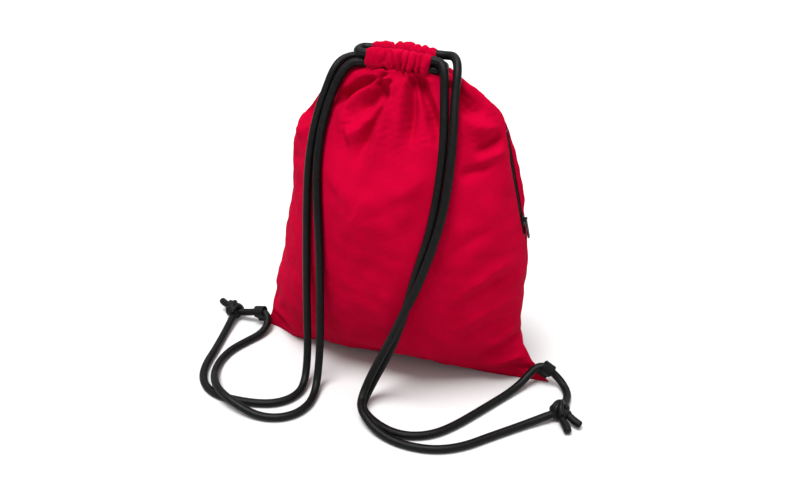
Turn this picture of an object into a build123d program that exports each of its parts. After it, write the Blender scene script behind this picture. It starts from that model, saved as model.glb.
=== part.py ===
from build123d import *
import os
import math

# Drawstring backpack, standing on its bottom seam with something light in it.
# Frame: millimetres, +Z up, origin on the standing face at the middle of the
# bottom seam.  The panel that carries the shoulder cords faces -Y, the side
# zip is in the +X seam.  All sizes below are in mm.
os.makedirs("parts", exist_ok=True)

# ---------------------------------------------------------------- dimensions
cloth_t = 1.2            # doubled cotton at the seams, used for both panels
flange_w = 3.0           # flat sewn edge of each panel
cord_d = 8.5             # braided shoulder cord
cord_r = cord_d / 2
floor_z = 4.4            # centre of a cord that lies on the floor
seam_y = -4.0            # the bottom seam, a little towards the strap side

casing_half = 34.0       # half width of the gathered casing
casing_z0, casing_z1 = 334.2, 356.0
casing_y0, casing_y1 = 3.2, 15.2
tunnel_y0, tunnel_y1 = 4.4, 14.0
tunnel_z0, tunnel_z1 = 335.4, 354.8
left_level, right_level = 340.4, 349.8   # heights of the two cords in the casing
cord_y = 9.2

webbing_t = 1.4          # tab webbing
webbing_w = 12.0
loop_in = 5.6            # inner radius of the tab's loop

zip_z0, zip_z1 = 174.0, 289.0
slider_z = 188.0         # slider at its closed end
slider_len = 9.5
slider_travel = 85.0
puller_len = 21.0
puller_w = 5.0

# Levels of the bag: height, left and right half width, depth towards -Y and
# +Y, and two exponents that say how sharp the section is at its seams.
levels = [
    (0.0, 174.0, 171.0, 12.0, 24.0, 2.00, 1.40),
    (14.0, 163.3, 158.9, 34.0, 46.0, 2.10, 1.10),
    (32.0, 158.1, 146.0, 50.0, 62.0, 2.10, 0.80),
    (60.0, 152.0, 135.5, 66.0, 76.0, 2.20, 0.60),
    (100.0, 139.5, 135.0, 76.0, 84.0, 2.20, 0.54),
    (140.0, 131.0, 136.5, 79.0, 86.0, 2.20, 0.52),
    (176.0, 122.8, 133.3, 78.0, 84.0, 2.20, 0.52),
    (200.0, 118.5, 127.9, 75.0, 80.0, 2.20, 0.52),
    (240.0, 116.8, 118.9, 64.0, 68.0, 2.20, 0.54),
    (270.0, 109.1, 112.1, 52.0, 54.0, 2.10, 0.56),
    (288.0, 95.0, 108.0, 44.0, 45.0, 2.10, 0.60),
    (304.0, 84.4, 99.4, 36.0, 36.0, 2.00, 0.64),
    (318.0, 75.6, 81.8, 28.0, 27.0, 2.00, 0.66),
    (328.0, 64.8, 66.0, 21.0, 20.0, 2.00, 0.66),
    (334.2, 50.0, 58.0, 15.2, 15.2, 2.00, 0.60),
]
# stations across a half panel, as parts of its half width
stations = [0.985, 0.93, 0.80, 0.58, 0.30]


def wall(z):
    """Width of the wall in a level section, so that it is cloth_t square to the cloth."""
    if z < 20:
        return cloth_t * 1.6
    return cloth_t * 1.35 if z < 40 or z > 280 else cloth_t


def profile(level, side):
    """Closed outline of one panel's wall at a level; side is -1 or +1."""
    z, wl, wr, yf, yb, p, q = level
    depth = yf if side < 0 else yb
    outer = [(-wl, cloth_t), (-(wl - flange_w), cloth_t)]
    rows = [(-1, wl, u) for u in stations] + [(1, wr, u) for u in reversed(stations)]
    for s, w, u in rows:
        x = (w - flange_w) * u
        outer.append((s * x, max(depth * (1.0 - (x / w) ** p) ** q, cloth_t + 1.8)))
    outer += [(wr - flange_w, cloth_t), (wr, cloth_t)]
    inner = [(-wl, 0.0), (-(wl - flange_w - 1.3), 0.0)]
    for a, b, c in zip(outer[1:], outer[2:-2], outer[3:]):
        n1 = Vector(a[1] - b[1], b[0] - a[0]).normalized()
        n2 = Vector(b[1] - c[1], c[0] - b[0]).normalized()
        shift = (n1 + n2) * (wall(z) / (1.0 + n1.dot(n2)))
        inner.append((b[0] - shift.X, max(b[1] - shift.Y, 0.4)))
    inner += [(wr - flange_w - 1.3, 0.0), (wr, 0.0)]
    ring = [(x, side * y) for x, y in outer + inner[::-1]]
    return ring if side < 0 else ring[::-1]


def base_outline(side):
    """Outline of the cloth that a panel lays on the floor, out to mid wall."""
    ring = profile(levels[0], side)
    if side < 0:
        half = [(x, y + 0.5) for x, y in ring[:len(ring) // 2] if y < seam_y - 1.0]
        return half + [(125.0, seam_y), (-125.0, seam_y)]
    half = [(x, y - 0.5) for x, y in ring[::-1][:len(ring) // 2]][2:-2]
    return half + [(150.0, 0.0), (135.0, -1.0), (122.0, -2.1), (105.0, seam_y),
                   (-105.0, seam_y), (-122.0, -2.1), (-135.0, -1.0), (-150.0, 0.0)]


def zip_x(z):
    """The seam line beside the zip is straight."""
    return 134.7 - zip_slope * (z - 170.0)


zip_slope = 0.2261
zip_dir = Vector(-zip_slope, 0, 1).normalized()


def zip_plane(z, inset=0.0):
    """Plane on the zip line: its z runs up the zip, its x points outwards."""
    out = Vector(zip_dir.Z, 0, -zip_dir.X)
    at = Vector(zip_x(z), 0, z) + out * (-inset)
    return Plane(origin=at, x_dir=out, z_dir=zip_dir)


# -------------------------------------------------------------------- panels
zip_len = (zip_z1 - zip_z0) / zip_dir.Z

with BuildPart() as back_panel:
    for level in levels:
        with BuildSketch(Plane.XY.offset(level[0])):
            with BuildLine():
                Polyline(*profile(level, -1), close=True)
            make_face()
    loft(ruled=True)
    with BuildSketch(Plane.XY):
        with BuildLine():
            Polyline(*base_outline(-1), close=True)
        make_face()
    extrude(amount=cloth_t)
    with BuildSketch(zip_plane(zip_z0)):
        with Locations((0, 0)):
            Rectangle(11.0, 9.0)
    extrude(amount=zip_len, mode=Mode.SUBTRACT)
back_panel.part.label = "back_panel"

with BuildPart() as front_panel:
    for level in levels:
        with BuildSketch(Plane.XY.offset(level[0])):
            with BuildLine():
                Polyline(*profile(level, 1), close=True)
            make_face()
    loft(ruled=True)
    with BuildSketch(Plane.XY):
        with BuildLine():
            Polyline(*base_outline(1), close=True)
        make_face()
    extrude(amount=cloth_t)
    with BuildSketch(zip_plane(zip_z0)):
        with Locations((0, 0)):
            Rectangle(11.0, 9.0)
    extrude(amount=zip_len, mode=Mode.SUBTRACT)
front_panel.part.label = "front_panel"

# ------------------------------------------------------------------- casings
with BuildPart() as back_casing:
    with BuildSketch(Plane.YZ.offset(-casing_half)):
        with Locations((-(casing_y0 + casing_y1) / 2, (casing_z0 + casing_z1) / 2)):
            RectangleRounded(casing_y1 - casing_y0, casing_z1 - casing_z0, 2.5)
        with Locations((-(tunnel_y0 + tunnel_y1) / 2, (tunnel_z0 + tunnel_z1) / 2)):
            RectangleRounded(tunnel_y1 - tunnel_y0, tunnel_z1 - tunnel_z0, 1.6, mode=Mode.SUBTRACT)
    extrude(amount=2 * casing_half)
back_casing.part.label = "back_casing"

with BuildPart() as front_casing:
    with BuildSketch(Plane.YZ.offset(-casing_half)):
        with Locations(((casing_y0 + casing_y1) / 2, (casing_z0 + casing_z1) / 2)):
            RectangleRounded(casing_y1 - casing_y0, casing_z1 - casing_z0, 2.5)
        with Locations(((tunnel_y0 + tunnel_y1) / 2, (tunnel_z0 + tunnel_z1) / 2)):
            RectangleRounded(tunnel_y1 - tunnel_y0, tunnel_z1 - tunnel_z0, 1.6, mode=Mode.SUBTRACT)
    extrude(amount=2 * casing_half)
front_casing.part.label = "front_casing"

# rows of thread that close the two casings, one bar for every stitch
with BuildPart() as back_casing_stitching:
    with BuildSketch(Plane.XZ.offset(casing_y1)):
        with GridLocations(4.0, 1.0, 16, 1):
            with Locations((0, 337.6)):
                Rectangle(3.0, 0.8)
    extrude(amount=0.4)
back_casing_stitching.part.label = "back_casing_stitching"

with BuildPart() as front_casing_stitching:
    with BuildSketch(Plane.XZ.offset(-casing_y1)):
        with GridLocations(4.0, 1.0, 16, 1):
            with Locations((0, 337.6)):
                Rectangle(3.0, 0.8)
    extrude(amount=-0.4)
front_casing_stitching.part.label = "front_casing_stitching"

# ----------------------------------------------------------------------- zip
with BuildPart() as zip_tape_back:
    with BuildSketch(zip_plane(zip_z0 - 1.0, 3.4)):
        with Locations((0.4, -3.15)):
            Rectangle(0.8, 4.5)
    extrude(amount=zip_len + 2.0)
zip_tape_back.part.label = "zip_tape_back"

with BuildPart() as zip_tape_front:
    with BuildSketch(zip_plane(zip_z0 - 1.0, 3.4)):
        with Locations((0.4, 3.15)):
            Rectangle(0.8, 4.5)
    extrude(amount=zip_len + 2.0)
zip_tape_front.part.label = "zip_tape_front"

chain_z0, chain_z1 = zip_z0 + 4.0, zip_z1 - 4.0
chain_len = (chain_z1 - chain_z0) / zip_dir.Z

with BuildPart() as zip_coil_back:
    with BuildSketch(zip_plane(chain_z0, 2.6)):
        with Locations((0.95, -1.15)):
            Rectangle(1.9, 2.1)
    extrude(amount=chain_len)
    fillet(zip_coil_back.edges().filter_by(Axis(zip_plane(chain_z0).origin, zip_dir)).group_by(Axis.X)[-1], 0.5)
zip_coil_back.part.label = "zip_coil_back"

with BuildPart() as zip_coil_front:
    with BuildSketch(zip_plane(chain_z0, 2.6)):
        with Locations((0.95, 1.15)):
            Rectangle(1.9, 2.1)
    extrude(amount=chain_len)
    fillet(zip_coil_front.edges().filter_by(Axis(zip_plane(chain_z0).origin, zip_dir)).group_by(Axis.X)[-1], 0.5)
zip_coil_front.part.label = "zip_coil_front"

with BuildPart() as zip_bottom_stop:
    with BuildSketch(zip_plane(chain_z0 - 2.4, 2.6)):
        with Locations((1.0, 0)):
            RectangleRounded(2.0, 6.4, 0.5)
    extrude(amount=2.2)
zip_bottom_stop.part.label = "zip_bottom_stop"

with BuildPart() as zip_top_stop:
    with BuildSketch(zip_plane(chain_z1 + 0.2, 2.6)):
        with Locations((1.0, 0)):
            RectangleRounded(2.0, 6.4, 0.5)
    extrude(amount=2.2)
zip_top_stop.part.label = "zip_top_stop"

# The slider's cap straddles the coil.  Two lugs on it hold the puller's pin.
pin_out = 2.05           # pin height above the cap's outer face
cap_face = 0.95          # outer face of the cap, outwards of the seam line
with BuildPart() as zip_slider:
    with BuildSketch(zip_plane(slider_z)):
        with Locations(((cap_face - 2.2) / 2, 0)):
            RectangleRounded(cap_face + 2.2, 7.6, 0.6)
        with Locations(((-0.25 - 3.0) / 2, 0)):
            Rectangle(2.75, 5.2, mode=Mode.SUBTRACT)
    extrude(amount=slider_len)
    with BuildSketch(zip_plane(slider_z + 4.2)):
        with Locations((cap_face + 1.45, -2.5), (cap_face + 1.45, 2.5)):
            Rectangle(3.1, 0.8)
    extrude(amount=2.6)
zip_slider.part.label = "zip_slider"

pin_plane = zip_plane(slider_z + 5.5)
pin_at = pin_plane.origin + pin_plane.x_dir * (cap_face + pin_out)
with BuildPart() as zip_puller_pin:
    with BuildSketch(Plane(origin=pin_at - Vector(0, 3.1, 0), x_dir=(1, 0, 0), z_dir=(0, 1, 0))):
        Circle(0.5)
    extrude(amount=6.2)
zip_puller_pin.part.label = "zip_puller_pin"

with BuildPart() as zip_puller:
    with BuildSketch(Plane(origin=pin_at - Vector(0, 1.9, 0), x_dir=pin_plane.x_dir, z_dir=(0, 1, 0))):
        Circle(1.15)
        Circle(0.58, mode=Mode.SUBTRACT)
    extrude(amount=3.8)
    with BuildSketch(Plane(origin=pin_at, x_dir=(0, 1, 0), z_dir=pin_plane.x_dir)):
        with BuildLine():
            Polyline((-1.9, -0.95), (-puller_w / 2, -3.4), (-puller_w / 2, -puller_len + 1.6),
                     (-puller_w / 2 + 1.6, -puller_len), (puller_w / 2 - 1.6, -puller_len),
                     (puller_w / 2, -puller_len + 1.6), (puller_w / 2, -3.4), (1.9, -0.95), close=True)
        make_face()
        with Locations((0, -puller_len + 3.6)):
            Circle(1.1, mode=Mode.SUBTRACT)
    extrude(amount=0.55, both=True)
zip_puller.part.label = "zip_puller"

# The pocket behind the zip hangs empty, its two plies flat together.
with BuildPart() as pocket_lining:
    with BuildSketch(Plane.XY.offset(118.0)):
        with BuildLine():
            Polyline((128.0, 1.6), (128.0, 2.8), (20.0, 27.2), (20.0, 26.0), close=True)
        make_face()
    extrude(amount=120.0)
    with BuildSketch(Plane.XZ):
        with BuildLine():
            Polyline((zip_x(110.0) - 8.0, 110.0), (zip_x(176.0) - 8.0, 176.0), (zip_x(180.0) - 4.2, 180.0),
                     (zip_x(245.0) - 4.2, 245.0), (150.0, 245.0), (150.0, 110.0), close=True)
        make_face()
    extrude(amount=-40.0, mode=Mode.SUBTRACT)
pocket_lining.part.label = "pocket_lining"


# ---------------------------------------------------------------------- tabs
def tab_plane(centre, along, leg):
    """Plane across a tab's loop; x runs from the loop to its sewn end."""
    c = Vector(*along).normalized()
    t = Vector(*leg)
    t = (t - c * t.dot(c)).normalized()
    return Plane(origin=centre, x_dir=t, z_dir=c)


left_tab_plane = tab_plane((-175.6, -2.9, 16.3), (-0.98, 0.0, -0.20), (0.38, 0.12, -0.92))
right_tab_plane = tab_plane((169.0, -3.3, 20.0), (0.84, 0.05, -0.54), (-0.57, 0.10, -0.82))
loop_out = loop_in + webbing_t

with BuildPart() as left_tab:
    with BuildSketch(left_tab_plane):
        Circle(loop_out)
        with BuildLine():
            Polyline((0, loop_out), (9.6, webbing_t), (13.0, webbing_t), (13.0, -webbing_t), (9.6, -webbing_t), (0, -loop_out), close=True)
        make_face()
        Circle(loop_in, mode=Mode.SUBTRACT)
        with BuildLine():
            Polyline((0, loop_in), (8.6, 0.05), (8.6, -0.05), (0, -loop_in), close=True)
        make_face(mode=Mode.SUBTRACT)
    extrude(amount=webbing_w / 2, both=True)
left_tab.part.label = "left_tab"

with BuildPart() as right_tab:
    with BuildSketch(right_tab_plane):
        Circle(loop_out)
        with BuildLine():
            Polyline((0, loop_out), (9.6, webbing_t), (13.5, webbing_t), (13.5, -webbing_t), (9.6, -webbing_t), (0, -loop_out), close=True)
        make_face()
        Circle(loop_in, mode=Mode.SUBTRACT)
        with BuildLine():
            Polyline((0, loop_in), (8.6, 0.05), (8.6, -0.05), (0, -loop_in), close=True)
        make_face(mode=Mode.SUBTRACT)
    extrude(amount=webbing_w / 2, both=True)
right_tab.part.label = "right_tab"


# --------------------------------------------------------- cord in the casing
def casing_path(sign, z):
    """In at one end of a casing, round the far end and back out."""
    a = Vector(sign * casing_half, -cord_y, z)
    b = Vector(-sign * (casing_half + 2), -cord_y, z)
    m = Vector(-sign * (casing_half + 2 + cord_y), 0, z)
    c = Vector(-sign * (casing_half + 2), cord_y, z)
    d = Vector(sign * casing_half, cord_y, z)
    return a, b, m, c, d


with BuildPart() as left_cord_in_casing:
    a, b, m, c, d = casing_path(-1, left_level)
    with BuildLine():
        Line(a, b)
        ThreePointArc(b, m, c)
        Line(c, d)
    with BuildSketch(Plane(origin=a, z_dir=b - a)):
        Circle(cord_r)
    sweep()
left_cord_in_casing.part.label = "left_cord_in_casing"

with BuildPart() as right_cord_in_casing:
    a, b, m, c, d = casing_path(1, right_level)
    with BuildLine():
        Line(a, b)
        ThreePointArc(b, m, c)
        Line(c, d)
    with BuildSketch(Plane(origin=a, z_dir=b - a)):
        Circle(cord_r)
    sweep()
right_cord_in_casing.part.label = "right_cord_in_casing"

# ------------------------------------------------------------- free strands
left_outer_route = [
    (-34.0, 9.2, 340.4), (-45.0, 9.2, 340.4), (-54.5, 5.6, 339.8), (-62.0, -3.4, 337.2), (-66.4, -12.6, 328.4),
    (-70.4, -18.6, 314.6), (-74.4, -28.2, 298.6), (-76.8, -41.6, 276.0), (-78.2, -52.8, 247.0), (-78.4, -60.2, 213.0),
    (-77.6, -66.6, 181.0), (-77.8, -70.4, 148.0), (-78.6, -72.2, 116.0), (-79.4, -73.2, 86.0), (-79.4, -74.8, 58.0),
    (-78.8, -79.0, 34.0), (-77.4, -87.0, 16.5), (-75.6, -98.0, 7.0), (-75.0, -110.5, 4.4), (-79.6, -125.0, 4.4),
    (-91.5, -136.8, 4.4), (-110.0, -143.5, 4.4), (-133.0, -146.0, 4.4), (-155.0, -145.5, 4.4), (-174.0, -137.0, 4.4),
    (-187.5, -120.5, 4.4), (-194.5, -99.0, 4.4), (-197.5, -75.0, 4.4), (-202.0, -50.0, 4.4), (-205.5, -29.0, 5.8),
    (-207.5, -13.0, 8.8)]
left_inner_route = [
    (-34.0, -9.2, 340.4), (-43.0, -9.2, 340.4), (-50.6, -12.4, 336.2), (-56.4, -18.0, 327.8), (-61.4, -23.6, 314.2),
    (-65.4, -32.0, 297.4), (-67.8, -44.4, 275.6), (-68.0, -56.2, 246.4), (-65.0, -65.6, 215.0), (-61.6, -72.8, 184.0),
    (-60.2, -76.8, 150.0), (-60.6, -78.4, 116.0), (-61.6, -79.2, 85.0), (-62.2, -80.8, 57.0), (-62.6, -84.8, 33.0),
    (-61.8, -92.4, 16.0), (-59.8, -103.0, 7.0), (-57.8, -115.5, 4.4), (-57.8, -130.0, 4.4), (-64.0, -146.0, 4.4),
    (-78.5, -157.6, 4.4), (-98.0, -161.8, 4.8), (-118.0, -160.2, 9.0), (-135.5, -156.0, 13.8), (-152.0, -147.0, 14.2),
    (-166.0, -131.0, 11.2), (-177.0, -112.0, 5.6), (-182.6, -90.0, 4.4), (-180.5, -67.0, 4.4), (-171.5, -47.0, 4.4),
    (-163.5, -31.5, 4.9), (-160.8, -20.0, 7.6), (-161.8, -11.5, 11.8), (-165.6, -5.6, 15.4), (-171.6, -2.8, 16.9),
    (-180.0, -2.6, 15.2), (-190.0, -3.0, 12.2), (-200.5, -3.2, 10.4)]
right_inner_route = [
    (34.0, -9.2, 349.8), (41.0, -9.2, 349.8), (46.8, -13.6, 346.6), (50.0, -19.2, 338.0), (51.8, -25.4, 322.0),
    (55.8, -36.8, 301.4), (58.7, -48.2, 275.3), (59.0, -60.0, 247.6), (57.2, -68.4, 218.0), (52.8, -75.8, 191.0),
    (45.2, -80.0, 163.0), (38.6, -81.4, 135.0), (30.8, -82.0, 102.0), (21.6, -82.8, 71.0), (12.4, -84.6, 48.0),
    (4.0, -87.6, 28.5), (-2.0, -93.0, 13.5), (-4.6, -102.0, 5.6), (-2.2, -113.0, 4.4), (7.0, -122.6, 4.4),
    (21.0, -131.8, 4.4), (39.4, -138.6, 4.4), (60.0, -138.0, 4.4), (80.0, -127.4, 4.4), (95.6, -108.6, 4.4),
    (109.6, -85.0, 4.4), (123.4, -60.6, 4.4), (135.8, -38.6, 4.7), (144.8, -23.4, 8.8), (151.2, -13.0, 15.6),
    (157.4, -6.4, 21.6), (164.6, -3.6, 22.8), (173.6, -3.1, 17.2), (182.6, -4.8, 10.8), (190.0, -10.6, 6.4),
    (195.2, -21.0, 5.2), (196.2, -33.5, 6.0), (194.8, -45.0, 8.6)]
right_outer_route = [
    (34.0, 9.2, 349.8), (42.5, 9.2, 349.8), (51.0, 5.2, 351.6), (57.4, -3.4, 348.6), (60.4, -13.0, 339.0),
    (61.4, -21.6, 324.0), (64.2, -33.2, 306.0), (67.4, -47.4, 280.2), (68.6, -60.4, 252.4), (66.8, -70.0, 223.0),
    (61.6, -78.6, 195.0), (54.6, -84.6, 169.0), (45.6, -88.8, 141.0), (36.0, -91.0, 119.0), (25.4, -91.6, 92.0),
    (14.2, -92.4, 66.0), (4.4, -95.0, 43.4), (-2.2, -101.0, 25.2), (-3.8, -111.4, 14.8), (-0.2, -122.4, 13.2),
    (7.8, -132.4, 11.4), (23.4, -143.2, 7.2), (43.4, -150.2, 4.4), (66.0, -152.4, 4.4), (90.0, -148.4, 4.4),
    (113.0, -135.2, 4.4), (134.0, -112.4, 4.4), (153.6, -92.0, 4.4), (170.6, -75.4, 5.6), (183.0, -65.4, 8.4)]


def corner_radii(points):
    out = []
    for k in range(1, len(points) - 1):
        p, q, r = (Vector(*points[j]) for j in (k - 1, k, k + 1))
        turn = math.radians((q - p).get_angle(r - q))
        out.append(0.45 * min((q - p).length, (r - q).length) / math.tan(turn / 2))
    return out


left_outer_radii = corner_radii(left_outer_route)
left_inner_radii = corner_radii(left_inner_route)
right_inner_radii = corner_radii(right_inner_route)
right_outer_radii = corner_radii(right_outer_route)


def report(name, part, line, radii):
    ratio = part.volume / (math.pi * cord_r ** 2 * line)
    print(f"{name}: length {line:.0f}, volume ratio {ratio:.4f}, radii "
          + " ".join(f"{r:.0f}" for r in radii))


with BuildPart() as left_cord_outer_strand:
    with BuildLine() as left_outer_line:
        FilletPolyline(*left_outer_route, radius=left_outer_radii)
    with BuildSketch(Plane(origin=left_outer_route[0], z_dir=Vector(*left_outer_route[1]) - Vector(*left_outer_route[0]))):
        Circle(cord_r)
    sweep()
left_cord_outer_strand.part.label = "left_cord_outer_strand"
report("left outer", left_cord_outer_strand.part, left_outer_line.wire().length, left_outer_radii)

with BuildPart() as left_cord_inner_strand:
    with BuildLine() as left_inner_line:
        FilletPolyline(*left_inner_route, radius=left_inner_radii)
    with BuildSketch(Plane(origin=left_inner_route[0], z_dir=Vector(*left_inner_route[1]) - Vector(*left_inner_route[0]))):
        Circle(cord_r)
    sweep()
left_cord_inner_strand.part.label = "left_cord_inner_strand"
report("left inner", left_cord_inner_strand.part, left_inner_line.wire().length, left_inner_radii)

with BuildPart() as right_cord_inner_strand:
    with BuildLine() as right_inner_line:
        FilletPolyline(*right_inner_route, radius=right_inner_radii)
    with BuildSketch(Plane(origin=right_inner_route[0], z_dir=Vector(*right_inner_route[1]) - Vector(*right_inner_route[0]))):
        Circle(cord_r)
    sweep()
right_cord_inner_strand.part.label = "right_cord_inner_strand"
report("right inner", right_cord_inner_strand.part, right_inner_line.wire().length, right_inner_radii)

with BuildPart() as right_cord_outer_strand:
    with BuildLine() as right_outer_line:
        FilletPolyline(*right_outer_route, radius=right_outer_radii)
    with BuildSketch(Plane(origin=right_outer_route[0], z_dir=Vector(*right_outer_route[1]) - Vector(*right_outer_route[0]))):
        Circle(cord_r)
    sweep()
right_cord_outer_strand.part.label = "right_cord_outer_strand"
report("right outer", right_cord_outer_strand.part, right_outer_line.wire().length, right_outer_radii)

# ---------------------------------------------------------------------- knots
left_knot_at = (-211.0, -2.4, 10.8)
right_knot_at = (194.0, -57.0, 10.8)
knot_r, knot_half = 10.4, 11.6


def knot_outline():
    """Half outline of a knot's body: a barrel with round shoulders."""
    return [(0, -knot_half), (5.0, -knot_half), (8.6, -knot_half + 2.6), (knot_r, -knot_half + 6.6),
            (knot_r, knot_half - 6.6), (8.6, knot_half - 2.6), (5.0, knot_half), (0, knot_half)]


with BuildPart() as left_knot:
    with BuildSketch(Plane(origin=left_knot_at, x_dir=(0, 0, 1), z_dir=Vector(0.5, 0.87, 0))):
        with BuildLine():
            Polyline(*knot_outline(), close=True)
        make_face()
    revolve(axis=Axis(left_knot_at, Plane(origin=left_knot_at, x_dir=(0, 0, 1), z_dir=Vector(0.5, 0.87, 0)).y_dir))
left_knot.part.label = "left_knot"

with BuildPart() as right_knot:
    with BuildSketch(Plane(origin=right_knot_at, x_dir=(0, 0, 1), z_dir=Vector(0.55, 0.83, 0))):
        with BuildLine():
            Polyline(*knot_outline(), close=True)
        make_face()
    revolve(axis=Axis(right_knot_at, Plane(origin=right_knot_at, x_dir=(0, 0, 1), z_dir=Vector(0.55, 0.83, 0)).y_dir))
right_knot.part.label = "right_knot"


def tail_plane(start, end):
    return Plane(origin=start, z_dir=Vector(*end) - Vector(*start))


left_tails_ends = [((-219.5, 1.5, 12.6), (-234.0, 9.0, 12.6)), ((-216.0, 9.4, 5.6), (-229.5, 17.5, 5.0))]
right_tails_ends = [((198.5, -66.6, 7.4), (207.0, -80.0, 5.2)), ((203.0, -59.0, 9.4), (217.5, -66.0, 5.4))]

with BuildPart() as left_cord_tails:
    for start, end in left_tails_ends:
        with BuildSketch(tail_plane(start, end)):
            Circle(cord_r)
        extrude(amount=(Vector(*end) - Vector(*start)).length)
left_cord_tails.part.label = "left_cord_tails"

with BuildPart() as right_cord_tails:
    for start, end in right_tails_ends:
        with BuildSketch(tail_plane(start, end)):
            Circle(cord_r)
        extrude(amount=(Vector(*end) - Vector(*start)).length)
right_cord_tails.part.label = "right_cord_tails"

# bar tacks that hold each tab in its corner
with BuildPart() as left_tab_stitching:
    with BuildSketch(Plane.XZ.offset(2.75)):
        with Locations((-170.0, 6.0)):
            Rectangle(8.0, 0.9)
        with Locations((-169.0, 8.6)):
            Rectangle(8.0, 0.9)
    extrude(amount=0.4)
left_tab_stitching.part.label = "left_tab_stitching"

with BuildPart() as right_tab_stitching:
    with BuildSketch(Plane.XZ.offset(3.35)):
        with Locations((161.5, 11.2)):
            Rectangle(7.0, 0.9, rotation=-33)
        with Locations((163.1, 13.7)):
            Rectangle(7.0, 0.9, rotation=-33)
    extrude(amount=0.4)
right_tab_stitching.part.label = "right_tab_stitching"

# --------------------------------------------------------------------- export
export_step(back_panel.part, "parts/back_panel.step")
export_step(front_panel.part, "parts/front_panel.step")
export_step(back_casing.part, "parts/back_casing.step")
export_step(front_casing.part, "parts/front_casing.step")
export_step(back_casing_stitching.part, "parts/back_casing_stitching.step")
export_step(front_casing_stitching.part, "parts/front_casing_stitching.step")
export_step(pocket_lining.part, "parts/pocket_lining.step")
export_step(zip_tape_back.part, "parts/zip_tape_back.step")
export_step(zip_tape_front.part, "parts/zip_tape_front.step")
export_step(zip_coil_back.part, "parts/zip_coil_back.step")
export_step(zip_coil_front.part, "parts/zip_coil_front.step")
export_step(zip_bottom_stop.part, "parts/zip_bottom_stop.step")
export_step(zip_top_stop.part, "parts/zip_top_stop.step")
export_step(zip_slider.part, "parts/zip_slider.step")
export_step(zip_puller_pin.part, "parts/zip_puller_pin.step")
export_step(zip_puller.part, "parts/zip_puller.step")
export_step(left_tab.part, "parts/left_tab.step")
export_step(right_tab.part, "parts/right_tab.step")
export_step(left_tab_stitching.part, "parts/left_tab_stitching.step")
export_step(right_tab_stitching.part, "parts/right_tab_stitching.step")
export_step(left_cord_in_casing.part, "parts/left_cord_in_casing.step")
export_step(right_cord_in_casing.part, "parts/right_cord_in_casing.step")
export_step(left_cord_outer_strand.part, "parts/left_cord_outer_strand.step")
export_step(left_cord_inner_strand.part, "parts/left_cord_inner_strand.step")
export_step(right_cord_inner_strand.part, "parts/right_cord_inner_strand.step")
export_step(right_cord_outer_strand.part, "parts/right_cord_outer_strand.step")
export_step(left_knot.part, "parts/left_knot.step")
export_step(right_knot.part, "parts/right_knot.step")
export_step(left_cord_tails.part, "parts/left_cord_tails.step")
export_step(right_cord_tails.part, "parts/right_cord_tails.step")
print("pin", tuple(round(v, 4) for v in pin_at), "zip", tuple(round(v, 5) for v in zip_dir))
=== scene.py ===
import math

import bpy
import numpy as np
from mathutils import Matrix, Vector
from mathutils.kdtree import KDTree


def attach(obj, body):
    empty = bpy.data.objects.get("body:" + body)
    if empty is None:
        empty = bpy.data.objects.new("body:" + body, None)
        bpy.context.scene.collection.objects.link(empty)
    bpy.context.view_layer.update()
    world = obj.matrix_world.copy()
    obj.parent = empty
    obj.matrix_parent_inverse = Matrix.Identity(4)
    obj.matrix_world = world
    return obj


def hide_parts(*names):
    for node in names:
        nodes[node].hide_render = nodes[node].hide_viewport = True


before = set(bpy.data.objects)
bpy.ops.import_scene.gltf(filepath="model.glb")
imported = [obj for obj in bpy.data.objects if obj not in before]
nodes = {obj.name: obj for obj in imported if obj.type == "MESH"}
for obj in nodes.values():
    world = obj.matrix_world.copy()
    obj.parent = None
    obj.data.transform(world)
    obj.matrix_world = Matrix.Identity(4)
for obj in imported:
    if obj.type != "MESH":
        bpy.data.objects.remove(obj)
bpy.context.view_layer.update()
scene = bpy.context.scene
MM = 0.001

# ------------------------------------------------------------------- camera
cam_data = bpy.data.cameras.new("camera")
cam_data.sensor_width = 36.0
cam_data.lens = 41.985
camera = bpy.data.objects.new("camera", cam_data)
scene.collection.objects.link(camera)
camera.location = (0.2895, -0.8158, 0.6330)
camera.rotation_euler = (Vector((-0.001, 0.0, 0.133)) - camera.location).to_track_quat("-Z", "Y").to_euler()
scene.camera = camera
scene.view_settings.view_transform = "Standard"


# ------------------------------------------------------------ small helpers
def add_mesh(name, verts, faces, material, uvs=None, smooth=True):
    """verts in mm; uvs, where given, are one pair per vertex, in metres."""
    me = bpy.data.meshes.new(name)
    me.from_pydata((np.asarray(verts) * MM).tolist(), [], faces)
    if uvs is not None:
        layer = me.uv_layers.new(name="UVMap")
        idx = np.empty(len(me.loops), dtype=np.int32)
        me.loops.foreach_get("vertex_index", idx)
        layer.data.foreach_set("uv", np.asarray(uvs, dtype=np.float32)[idx].ravel())
    me.materials.append(material)
    if smooth:
        me.polygons.foreach_set("use_smooth", [True] * len(me.polygons))
    me.validate()
    me.update()
    ob = bpy.data.objects.new(name, me)
    scene.collection.objects.link(ob)
    return ob


def unit(v):
    v = np.asarray(v, float)
    return v / np.maximum(np.linalg.norm(v, axis=-1, keepdims=True), 1e-9)


def resample(points, step):
    """The same line at even steps, with its arc lengths."""
    p = np.asarray(points, float)
    d = np.r_[0.0, np.cumsum(np.linalg.norm(np.diff(p, axis=0), axis=1))]
    n = max(int(round(d[-1] / step)), 2)
    s = np.linspace(0.0, d[-1], n + 1)
    return np.stack([np.interp(s, d, p[:, k]) for k in range(3)], 1), s


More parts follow.
